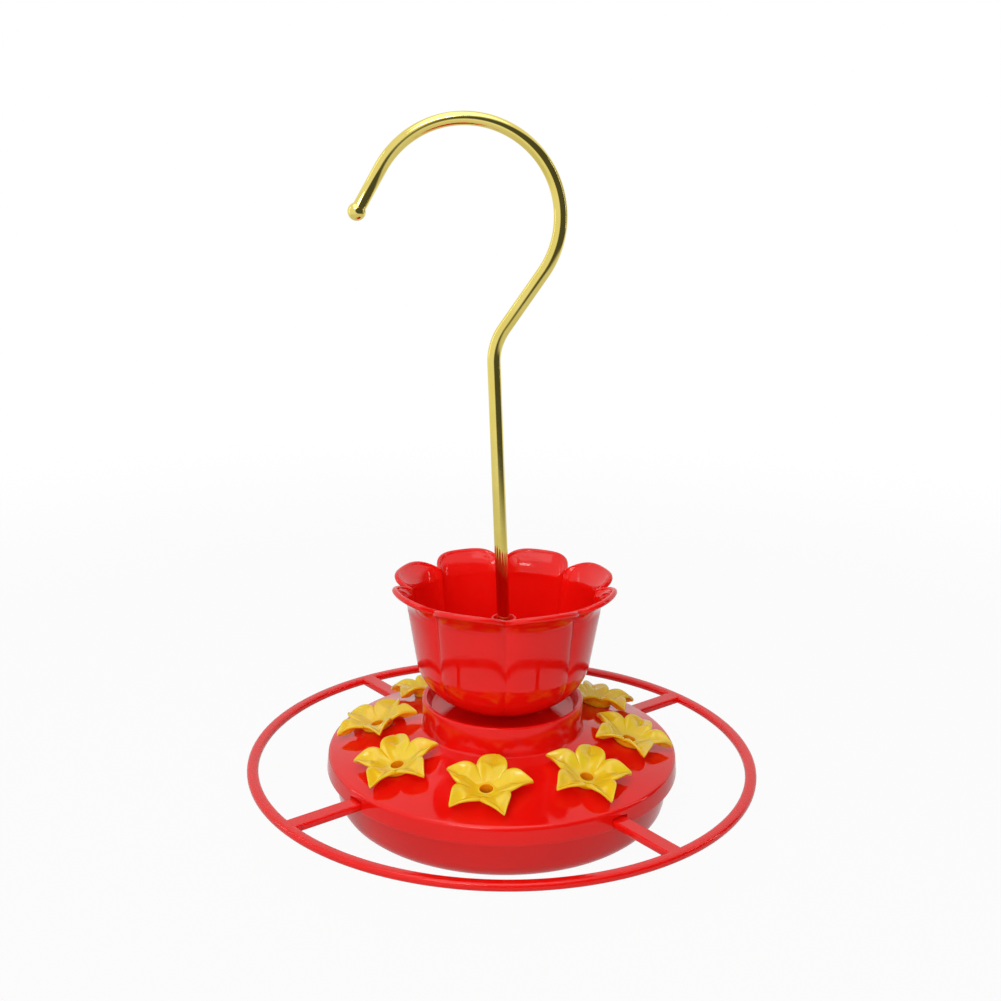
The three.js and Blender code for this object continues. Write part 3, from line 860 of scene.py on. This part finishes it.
def nut():
    top = NUT_WELL_DEPTH - WASHER_THICKNESS - 2 * FIT
    bottom = top - NUT_HEIGHT
    flat = NUT_ACROSS_FLATS / 2
    half_side = math.pi / NUT_SIDES

    def profile(turn):
        from_flat = (turn + half_side) % (2 * half_side) - half_side
        outer = flat / math.cos(from_flat)
        chamfer = (outer - flat) * math.tan(NUT_CHAMFER) + NUT_LEAST_CHAMFER
        return [
            (ROD_HOLE_R, bottom + NUT_HOLE_CHAMFER),
            (ROD_HOLE_R + NUT_HOLE_CHAMFER, bottom),
            (flat, bottom),
            (outer, bottom + chamfer),
            (outer, top - chamfer),
            (flat, top),
            (ROD_HOLE_R + NUT_HOLE_CHAMFER, top),
            (ROD_HOLE_R, top - NUT_HOLE_CHAMFER),
        ]

    obj = new_object("nut", spin(profile, even_turns(NUT_TURNS)), NUT_SHARP_EDGE)
    obj.data.transform(Matrix.Rotation(HOOK_TURN, 4, "Z"))
    return obj


# Materials

def new_material(name):
    material = bpy.data.materials.new(name)
    material.use_nodes = True
    return material, material.node_tree.nodes, material.node_tree.links


def add_noise(nodes, links, scale, detail):
    place = nodes.new("ShaderNodeTexCoord")
    noise = nodes.new("ShaderNodeTexNoise")
    noise.inputs["Scale"].default_value = scale
    noise.inputs["Detail"].default_value = detail
    links.new(place.outputs["Object"], noise.inputs["Vector"])
    return noise


def add_range(nodes, links, source, low, high):
    spread = nodes.new("ShaderNodeMapRange")
    spread.inputs["From Min"].default_value = NOISE_LOW
    spread.inputs["From Max"].default_value = NOISE_HIGH
    spread.inputs["To Min"].default_value = low
    spread.inputs["To Max"].default_value = high
    links.new(source, spread.inputs["Value"])
    return spread.outputs["Result"]


def add_tint(nodes, links, source, first, second):
    ramp = nodes.new("ShaderNodeValToRGB")
    low, high = ramp.color_ramp.elements
    low.position = NOISE_LOW
    low.color = first
    high.position = NOISE_HIGH
    high.color = second
    links.new(source, ramp.inputs["Fac"])
    return ramp.outputs["Color"]


def add_bump(nodes, links, source, strength, distance):
    bump = nodes.new("ShaderNodeBump")
    bump.inputs["Strength"].default_value = strength
    bump.inputs["Distance"].default_value = distance
    links.new(source, bump.inputs["Height"])
    return bump.outputs["Normal"]


def add_bore_shade(nodes, links, colour, deep):
    """Changes a colour to a deeper orange where a piece is marked as the inside of its bore: painted
    shade and glow in the hole.
    """
    inside = nodes.new("ShaderNodeAttribute")
    inside.attribute_name = "throat"
    mix = nodes.new("ShaderNodeMixRGB")
    mix.inputs["Color2"].default_value = deep
    links.new(inside.outputs["Fac"], mix.inputs["Fac"])
    links.new(colour, mix.inputs["Color1"])
    return mix.outputs["Color"]


def moulded_plastic(name, tints, ior, roughness, glow_depth, throat=None):
    """Glossy moulded plastic with faint flow marks and a slightly wavy skin, and, where a bore colour is
    given, painted shade inside the bore.
    """
    material, nodes, links = new_material(name)
    shader = nodes["Principled BSDF"]
    flow = add_noise(nodes, links, FLOW_SCALE, FLOW_DETAIL).outputs["Fac"]
    skin = add_noise(nodes, links, SKIN_SCALE, SKIN_DETAIL).outputs["Fac"]
    colour = add_tint(nodes, links, flow, *tints)
    # Painted shade: the inside of the bore is tinted a deeper orange
    if throat:
        colour = add_bore_shade(nodes, links, colour, throat)
    gloss = add_range(nodes, links, skin, roughness, roughness + SKIN_SPREAD)
    links.new(colour, shader.inputs["Base Color"])
    links.new(gloss, shader.inputs["Roughness"])
    links.new(add_bump(nodes, links, flow, WAVE_STRENGTH, WAVE_DEPTH), shader.inputs["Normal"])
    shader.inputs["IOR"].default_value = ior
    shader.inputs["Subsurface Weight"].default_value = GLOW
    shader.inputs["Subsurface Radius"].default_value = glow_depth
    shader.inputs["Subsurface Scale"].default_value = MM
    return material


def polished_brass():
    """Bright plated wire with fine draw marks."""
    material, nodes, links = new_material("polished_brass")
    shader = nodes["Principled BSDF"]
    marks = add_noise(nodes, links, DRAW_SCALE, DRAW_DETAIL).outputs["Fac"]
    tone = add_noise(nodes, links, TONE_SCALE, TONE_DETAIL).outputs["Fac"]
    links.new(add_tint(nodes, links, tone, *BRASS_TINTS), shader.inputs["Base Color"])
    links.new(add_range(nodes, links, marks, *BRASS_ROUGHNESS), shader.inputs["Roughness"])
    shader.inputs["Metallic"].default_value = 1
    return material


# Floor, light and camera

def add_length(nodes, links, vector):
    length = nodes.new("ShaderNodeVectorMath")
    length.operation = "LENGTH"
    links.new(vector, length.inputs[0])
    return length.outputs["Value"]


def add_fade(nodes, links, source, start, end, low):
    """Smooth change from a low level to 1 as the source goes from start to end."""
    fade = nodes.new("ShaderNodeMapRange")
    fade.interpolation_type = "SMOOTHSTEP"
    fade.inputs["From Min"].default_value = start
    fade.inputs["From Max"].default_value = end
    fade.inputs["To Min"].default_value = low
    fade.inputs["To Max"].default_value = 1
    links.new(source, fade.inputs["Value"])
    return fade.outputs["Result"]


def add_mix(nodes, links, share, first, second):
    mix = nodes.new("ShaderNodeMixShader")
    links.new(share, mix.inputs[0])
    links.new(first, mix.inputs[1])
    links.new(second, mix.inputs[2])
    return mix.outputs[0]


def add_whiteness(nodes, links):
    """How much of the floor is plain white: most of it as the camera sees it, less in gloss."""
    path = nodes.new("ShaderNodeLightPath")
    seen = nodes.new("ShaderNodeMath")
    seen.operation = "MULTIPLY"
    seen.inputs[1].default_value = FLOOR_WHITE
    links.new(path.outputs["Is Camera Ray"], seen.inputs[0])
    white = nodes.new("ShaderNodeMath")
    white.operation = "MULTIPLY_ADD"
    white.inputs[1].default_value = FLOOR_MIRRORED
    links.new(path.outputs["Is Glossy Ray"], white.inputs[0])
    links.new(seen.outputs[0], white.inputs[2])
    return white.outputs[0]


def pale_floor():
    """White floor that keeps a trace of shadow and thins out away from the object."""
    material, nodes, links = new_material("pale_floor")
    shader = nodes["Principled BSDF"]
    shader.inputs["Base Color"].default_value = (FLOOR_GREY, FLOOR_GREY, FLOOR_GREY, 1)
    shader.inputs["Roughness"].default_value = FLOOR_ROUGHNESS
    shader.inputs["Specular IOR Level"].default_value = 0
    paper = nodes.new("ShaderNodeEmission")
    paper.inputs["Color"].default_value = WHITE
    clear = nodes.new("ShaderNodeBsdfTransparent")
    place = nodes.new("ShaderNodeTexCoord")
    away = add_length(nodes, links, place.outputs["Object"])
    thin = add_fade(nodes, links, away, FLOOR_R * FLOOR_FADE_START, FLOOR_R * FLOOR_FADE_END, 0)
    lit = add_mix(nodes, links, add_whiteness(nodes, links), shader.outputs[0], paper.outputs[0])
    ends = add_mix(nodes, links, thin, lit, clear.outputs[0])
    links.new(ends, nodes["Material Output"].inputs["Surface"])
    return material


def floor():
    rim = circle(FLOOR_R, 0, FLOOR_TURNS)
    mesh = bpy.data.meshes.new("floor")
    mesh.from_pydata(rim, [], [tuple(range(len(rim)))])
    mesh.materials.append(pale_floor())
    obj = bpy.data.objects.new("floor", mesh)
    bpy.context.scene.collection.objects.link(obj)
    obj.location.z = -FLOOR_DROP


def dim_room(nodes, links):
    """Brightness of the surroundings as gloss shows them: white, but dim towards the front right."""
    place = nodes.new("ShaderNodeTexCoord")
    turned = nodes.new("ShaderNodeMapping")
    turned.inputs["Rotation"].default_value = (0, 0, -math.radians(ROOM_AZIMUTH))
    links.new(place.outputs["Generated"], turned.inputs["Vector"])
    shifted = nodes.new("ShaderNodeMapping")
    shifted.inputs["Scale"].default_value = tuple(1 / size for size in ROOM_SIZE)
    elevation = math.radians(ROOM_ELEVATION)
    middle = (0, -math.cos(elevation), math.sin(elevation))
    shifted.inputs["Location"].default_value = tuple(-c / size for c, size in zip(middle, ROOM_SIZE))
    links.new(turned.outputs["Vector"], shifted.inputs["Vector"])
    reach = add_length(nodes, links, shifted.outputs["Vector"])
    return add_fade(nodes, links, reach, ROOM_EDGE_START, ROOM_EDGE_END, ROOM_LEVEL)


def add_background(nodes, strength):
    light = nodes.new("ShaderNodeBackground")
    light.inputs["Color"].default_value = WHITE
    light.inputs["Strength"].default_value = strength
    return light


def world():
    """White backdrop, even soft light from all sides, and a dim room that only gloss shows."""
    sky = bpy.data.worlds.new("studio")
    bpy.context.scene.world = sky
    sky.use_nodes = True
    nodes = sky.node_tree.nodes
    links = sky.node_tree.links
    nodes.clear()
    path = nodes.new("ShaderNodeLightPath")
    backdrop = add_background(nodes, 1)
    ambient = add_background(nodes, AMBIENT)
    mirrored = add_background(nodes, 1)
    links.new(dim_room(nodes, links), mirrored.inputs["Strength"])
    glossy = add_mix(nodes, links, path.outputs["Is Glossy Ray"], ambient.outputs[0], mirrored.outputs[0])
    seen = nodes.new("ShaderNodeMath")
    seen.operation = "MAXIMUM"
    links.new(path.outputs["Is Camera Ray"], seen.inputs[0])
    links.new(path.outputs["Is Transmission Ray"], seen.inputs[1])
    output = nodes.new("ShaderNodeOutputWorld")
    whole = add_mix(nodes, links, seen.outputs[0], glossy, backdrop.outputs[0])
    links.new(whole, output.inputs["Surface"])


def softbox(name, place, size, brightness, mirrored=True):
    """Rectangular lamp, aimed at the object, with a brightness that doesn't depend on its size."""
    lamp = bpy.data.lights.new(name, "AREA")
    lamp.shape = "RECTANGLE"
    lamp.size, lamp.size_y = size
    lamp.energy = brightness * math.pi * size[0] * size[1]
    obj = bpy.data.objects.new(name, lamp)
    bpy.context.scene.collection.objects.link(obj)
    obj.location = place
    obj.visible_glossy = mirrored
    aim = Vector(LAMP_AIM) - Vector(place)
    obj.rotation_euler = aim.to_track_quat("-Z", "Y").to_euler()


def lights():
    """Lamps, with places and sizes in metres."""
    softbox("top", place=(-0.1, -0.15, 1.2), size=(1, 0.8), brightness=1.45)
    softbox("left", place=(-1.1, 0.1, 0.45), size=(0.06, 0.9), brightness=2.6)
    softbox("right", place=(1.1, 0.25, 0.45), size=(0.1, 0.9), brightness=2.6)
    softbox("front", place=(-0.25, -0.85, 1.05), size=(0.5, 0.25), brightness=8)
    softbox("fill", place=(-0.1, -1.15, 0.46), size=(0.7, 0.5), brightness=4.9, mirrored=False)


def camera():
    lens = bpy.data.cameras.new("camera")
    lens.lens = CAMERA_LENS
    lens.clip_start = CAMERA_NEAR
    obj = bpy.data.objects.new("camera", lens)
    bpy.context.scene.collection.objects.link(obj)
    pitch = math.radians(CAMERA_PITCH)
    yaw = math.radians(CAMERA_YAW)
    roll = math.radians(CAMERA_ROLL)
    ahead = Vector((math.sin(yaw) * math.cos(pitch), math.cos(yaw) * math.cos(pitch), -math.sin(pitch)))
    right = Vector((math.cos(yaw), -math.sin(yaw), 0))
    up = right.cross(ahead)
    local_x = right * math.cos(roll) + up * math.sin(roll)
    local_y = up * math.cos(roll) - right * math.sin(roll)
    turned = Matrix((local_x, local_y, -ahead)).transposed().to_4x4()
    spot = Matrix.Translation(Vector((0, -CAMERA_DISTANCE, CAMERA_HEIGHT)) * MM)
    obj.matrix_world = Matrix.Rotation(math.radians(CAMERA_AZIMUTH), 4, "Z") @ spot @ turned
    bpy.context.scene.camera = obj


red = moulded_plastic("red_plastic", RED_TINTS, RED_IOR, RED_ROUGHNESS, RED_GLOW_DEPTH)
yellow = moulded_plastic(
    "yellow_plastic", YELLOW_TINTS, YELLOW_IOR, YELLOW_ROUGHNESS, YELLOW_GLOW_DEPTH, YELLOW_BORE_SHADE
)
brass = polished_brass()

dress(bowl(), red, "base", "red_plastic", "nectar_bowl", "bowl_floor")
dress(perch(), red, "base", "red_plastic", "perch_ring")
dress(lid(), red, "lid", "red_plastic", "lid")
for port in range(PORT_COUNT):
    dress(flower(port), yellow, f"flower_{port + 1}", "yellow_plastic", f"flower_port_{port + 1}")
dress(moat(), red, "moat", "red_plastic", "ant_moat")
dress(hook(), brass, "hanger", "brass_wire", "hanger_rod")
dress(washer(), brass, "hanger", "brass_wire", "rod_washer")
dress(nut(), brass, "hanger", "brass_wire", "rod_nut")

floor()
world()
lights()
camera()
bpy.context.scene.view_settings.view_transform = "Standard"
